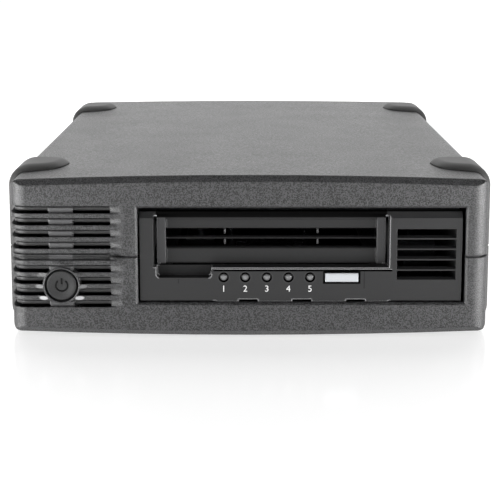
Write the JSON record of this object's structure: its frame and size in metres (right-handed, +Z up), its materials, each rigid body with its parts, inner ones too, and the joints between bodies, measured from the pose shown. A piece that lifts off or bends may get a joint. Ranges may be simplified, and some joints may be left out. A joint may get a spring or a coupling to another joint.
{
  "type": "external tape drive",
  "caption": "Low desktop enclosure with rubber corner bumpers around a half-height tape drive with a louvred cartridge door, status lights, eject bar and louvred power button corner.",
  "frame": {"origin": "on the table under the middle of the overall box", "axes": "+X to the right seen from the front, +Y from the front face to the rear, +Z up"},
  "size_m": [0.228, 0.3024, 0.0778],
  "materials": {
    "case_plastic": "fine-grained moulded",
    "bumper_rubber": "satin",
    "button_plastic": "satin",
    "bezel_plastic": "satin moulded",
    "eject_plastic": "smooth",
    "light_lens": "frosted",
    "sheet_steel": "plated sheet",
    "bright_steel": "polished",
    "circuit_board": "solder mask",
    "black_plastic": "moulded",
    "white_plastic": "moulded",
    "grey_plastic": "moulded",
    "cast_aluminium": "machined",
    "motor_steel": "painted",
    "plated_shell": "tin plated",
    "contact_brass": "bright",
    "cable_sheath": "smooth sheath"
  },
  "bodies": {
    "enclosure": {"upper_shell": "case_plastic", "lower_shell": "case_plastic", "upper_bumper_front_left": "bumper_rubber", "upper_bumper_front_right": "bumper_rubber", "upper_bumper_rear_left": "bumper_rubber", "upper_bumper_rear_right": "bumper_rubber", "lower_bumper_front_left": "bumper_rubber", "lower_bumper_front_right": "bumper_rubber", "lower_bumper_rear_left": "bumper_rubber", "lower_bumper_rear_right": "bumper_rubber", "drive_bezel": "bezel_plastic", "status_light_pipe": "light_lens", "drive_chassis": "sheet_steel", "drive_top_cover": "sheet_steel", "rear_panel": "sheet_steel", "voice_coil_yoke": "sheet_steel", "door_hinge_pin": "bright_steel", "carriage_guide_rods": "bright_steel", "head_guide_rod": "bright_steel", "power_button_spring": "bright_steel", "case_screws": "bright_steel", "drive_screws": "bright_steel", "supply_screws": "bright_steel", "rear_panel_screws": "bright_steel", "fan_screws": "bright_steel", "fan_guard": "bright_steel", "front_board": "circuit_board", "main_board": "circuit_board", "supply_board": "circuit_board", "power_switch": "black_plastic", "drive_connectors": "black_plastic", "supply_plugs": "black_plastic", "mains_inlet": "black_plastic", "fan_frame": "black_plastic", "supply_capacitors": "black_plastic", "tape_guide_base": "cast_aluminium", "supply_heat_sinks": "cast_aluminium", "supply_motor": "motor_steel", "takeup_motor": "motor_steel", "load_gearmotor": "motor_steel", "supply_transformer": "motor_steel", "data_port": "plated_shell", "inlet_pins": "contact_brass", "data_cable": "cable_sheath", "drive_power_cable": "cable_sheath", "mains_wiring": "cable_sheath"},
    "power_button": {"power_button": "button_plastic"},
    "eject_button": {"eject_button": "eject_plastic"},
    "cartridge_door": {"cartridge_door": "bezel_plastic"},
    "lift_slider": {"lift_slider": "sheet_steel"},
    "cartridge_carriage": {"cartridge_carriage": "grey_plastic"},
    "load_pinion": {"load_pinion": "white_plastic"},
    "supply_chuck": {"supply_chuck": "white_plastic"},
    "takeup_reel": {"takeup_reel": "white_plastic"},
    "guide_roller_1": {"guide_roller_1": "white_plastic"},
    "guide_roller_2": {"guide_roller_2": "white_plastic"},
    "guide_roller_3": {"guide_roller_3": "white_plastic"},
    "guide_roller_4": {"guide_roller_4": "white_plastic"},
    "head_carriage": {"head_carriage": "cast_aluminium"},
    "fan_rotor": {"fan_rotor": "black_plastic"}
  },
  "joints": [
    {"name": "power_button_press", "type": "slide", "parent": "enclosure", "child": "power_button", "axis": [0, 1, 0], "range_m": [0, 0.0025], "stiffness_N_per_m": 800, "springref_m": -0.001, "deforming": ["power_button_spring"]},
    {"name": "eject_button_press", "type": "slide", "parent": "enclosure", "child": "eject_button", "axis": [0, 1, 0], "range_m": [0, 0.001], "stiffness_N_per_m": 1500, "springref_m": -0.0004},
    {"name": "cartridge_door_swing", "type": "hinge", "parent": "enclosure", "child": "cartridge_door", "pos_m": [0.01, -0.1399, 0.0565], "axis": [1, 0, 0], "range_deg": [0, 88], "stiffness_Nm_per_rad": 0.002, "springref_deg": -17.19},
    {"name": "lift_slide", "type": "slide", "parent": "enclosure", "child": "lift_slider", "axis": [0, -1, 0], "range_m": [-0.012, 0]},
    {"name": "carriage_lower", "type": "slide", "parent": "enclosure", "child": "cartridge_carriage", "axis": [0, 0, 1], "range_m": [-0.004, 0]},
    {"name": "pinion_turn", "type": "hinge", "parent": "enclosure", "child": "load_pinion", "pos_m": [0.0703, -0.085, 0.0275], "axis": [1, 0, 0], "range_deg": [-110, 0]},
    {"name": "supply_chuck_turn", "type": "hinge", "parent": "enclosure", "child": "supply_chuck", "pos_m": [0.01, -0.087, 0.0265], "axis": [0, 0, 1], "continuous": true},
    {"name": "takeup_reel_turn", "type": "hinge", "parent": "enclosure", "child": "takeup_reel", "pos_m": [0.04128, 0.0175, 0.0332], "axis": [0, 0, 1], "continuous": true},
    {"name": "head_lift", "type": "slide", "parent": "enclosure", "child": "head_carriage", "axis": [0, 0, 1], "range_m": [0, 0.005]},
    {"name": "fan_turn", "type": "hinge", "parent": "enclosure", "child": "fan_rotor", "pos_m": [0.008, 0.1355, 0.0389], "axis": [0, 1, 0], "continuous": true},
    {"name": "guide_roller_1_turn", "type": "hinge", "parent": "enclosure", "child": "guide_roller_1", "pos_m": [-0.0273, -0.022, 0.0327], "axis": [0, 0, 1], "continuous": true},
    {"name": "guide_roller_2_turn", "type": "hinge", "parent": "enclosure", "child": "guide_roller_2", "pos_m": [-0.0303, -0.009, 0.0327], "axis": [0, 0, 1], "continuous": true},
    {"name": "guide_roller_3_turn", "type": "hinge", "parent": "enclosure", "child": "guide_roller_3", "pos_m": [-0.0303, 0.017, 0.0327], "axis": [0, 0, 1], "continuous": true},
    {"name": "guide_roller_4_turn", "type": "hinge", "parent": "enclosure", "child": "guide_roller_4", "pos_m": [-0.0243, 0.03, 0.0327], "axis": [0, 0, 1], "continuous": true}
  ],
  "couplings": [
    {"joint": "carriage_lower", "follows": "lift_slide", "ratio": 0.33333},
    {"joint": "pinion_turn", "follows": "lift_slide", "rad_per_m": 158.73}
  ]
}
